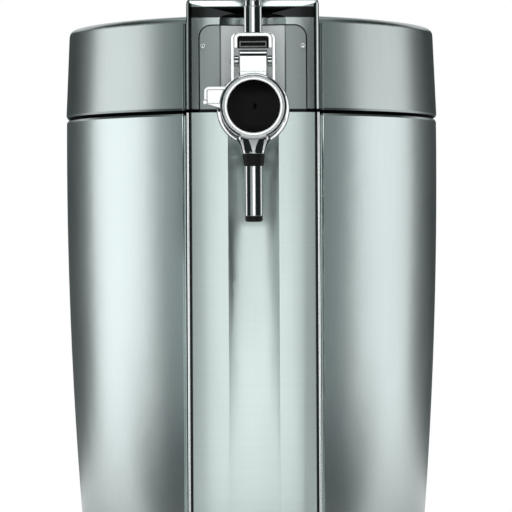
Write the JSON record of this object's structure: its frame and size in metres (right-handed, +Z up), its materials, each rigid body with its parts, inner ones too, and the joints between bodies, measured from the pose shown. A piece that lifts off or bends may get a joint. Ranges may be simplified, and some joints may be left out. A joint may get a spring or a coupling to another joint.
{
  "type": "mini keg beer dispenser",
  "caption": "Cooled barrel-shaped dispenser for a small keg, with brushed shells, a hinged lid, a lever tap with a hinged round badge and a drip tray.",
  "frame": {"origin": "centre of the plan box on the floor, under the feet", "axes": "+Z up, front towards -Y, +X to the viewer's right"},
  "size_m": [0.2812, 0.45, 0.5165],
  "materials": {
    "shell_steel": "satin vertical brushing",
    "column_steel": "fine satin, brighter than the shells",
    "lid_steel": "satin, darker than the body",
    "bright_chrome": "mirror",
    "badge_black": "high gloss black",
    "handle_black": "gloss black",
    "body_black": "fine spark-eroded grain",
    "deck_grey": "fine grain",
    "foot_rubber": "matte",
    "seal_rubber": "satin",
    "liner_aluminium": "satin drawn",
    "foam_white": "moulded foam beads",
    "sink_aluminium": "extruded",
    "module_white": "white ceramic plates",
    "board_green": "solder mask",
    "supply_case": "zinc plated",
    "pin_steel": "turned",
    "light_green": "clear moulded lens"
  },
  "bodies": {
    "housing": {"side_shell_right": "shell_steel", "side_shell_left": "shell_steel", "front_column": "column_steel", "tap_console": "column_steel", "tap_body": "bright_chrome", "badge_pin": "bright_chrome", "spout_cone": "bright_chrome", "spout_tube": "bright_chrome", "tap_flange": "bright_chrome", "base_plinth": "body_black", "rear_cover": "body_black", "power_inlet": "body_black", "switch_bezel": "body_black", "fan_frame": "body_black", "chamber_stand": "body_black", "top_deck": "deck_grey", "rubber_feet": "foot_rubber", "spout_seal": "seal_rubber", "spout_tip": "seal_rubber", "keg_liner": "liner_aluminium", "insulation_jacket": "foam_white", "heat_sink": "sink_aluminium", "cold_block": "sink_aluminium", "peltier_module": "module_white", "control_board": "board_green", "power_supply": "supply_case", "hinge_bracket": "pin_steel", "hinge_pin": "pin_steel", "rear_cover_screws": "pin_steel", "catch_plate": "pin_steel", "valve_spring": "pin_steel", "ready_light": "light_green"},
    "lid": {"lid_shell_right": "lid_steel", "lid_shell_left": "lid_steel", "lid_top": "lid_steel", "lid_spine": "column_steel", "lid_rim": "deck_grey", "lid_dome": "deck_grey", "lid_gasket": "seal_rubber", "lid_hinge_arm": "pin_steel", "button_spring": "pin_steel"},
    "button": {"release_button": "bright_chrome"},
    "lever": {"lever_yoke": "bright_chrome", "pivot_pin": "bright_chrome", "slot_frame": "bright_chrome", "yoke_insert": "handle_black", "lever_stem": "bright_chrome", "handle_ferrule": "bright_chrome", "handle_grip": "handle_black", "handle_cap": "bright_chrome"},
    "valve": {"valve_plunger": "pin_steel"},
    "badge_door": {"badge_ring": "bright_chrome", "badge_disc": "badge_black"},
    "tray": {"drip_tray": "body_black"},
    "grille": {"drip_grille": "pin_steel"},
    "rocker": {"power_switch": "body_black"},
    "fan": {"fan_rotor": "body_black"}
  },
  "joints": [
    {"name": "lid_hinge", "type": "hinge", "parent": "housing", "child": "lid", "pos_m": [0, 0.208, 0.3504], "axis": [-1, 0, 0], "range_deg": [0, 95]},
    {"name": "release_press", "type": "slide", "parent": "lid", "child": "button", "axis": [0, 0, -1], "range_m": [0, 0.0035], "stiffness_N_per_m": 600, "springref_m": -0.003, "deforming": ["button_spring"]},
    {"name": "tap_lever", "type": "hinge", "parent": "housing", "child": "lever", "pos_m": [0, -0.17, 0.3785], "axis": [1, 0, 0], "range_deg": [0, 35]},
    {"name": "valve_lift", "type": "slide", "parent": "housing", "child": "valve", "axis": [0, 0, 1], "range_m": [0, 0.004], "deforming": ["valve_spring"]},
    {"name": "badge_door_hinge", "type": "hinge", "parent": "housing", "child": "badge_door", "pos_m": [0.0205, -0.177, 0.3448], "axis": [0, 0, 1], "range_deg": [0, 100]},
    {"name": "tray_slide", "type": "slide", "parent": "housing", "child": "tray", "axis": [0, -1, 0], "range_m": [0, 0.07]},
    {"name": "grille_lift", "type": "slide", "parent": "tray", "child": "grille", "axis": [0, 0, 1], "range_m": [0, 0.03]},
    {"name": "switch_rock", "type": "hinge", "parent": "housing", "child": "rocker", "pos_m": [0.027, 0.213, 0.064], "axis": [-1, 0, 0], "range_deg": [0, 14]},
    {"name": "fan_spin", "type": "hinge", "parent": "housing", "child": "fan", "pos_m": [0, 0.163, 0.18], "axis": [0, 1, 0], "continuous": true}
  ],
  "couplings": [
    {"joint": "valve_lift", "follows": "tap_lever", "m_per_rad": 0.0065}
  ]
}
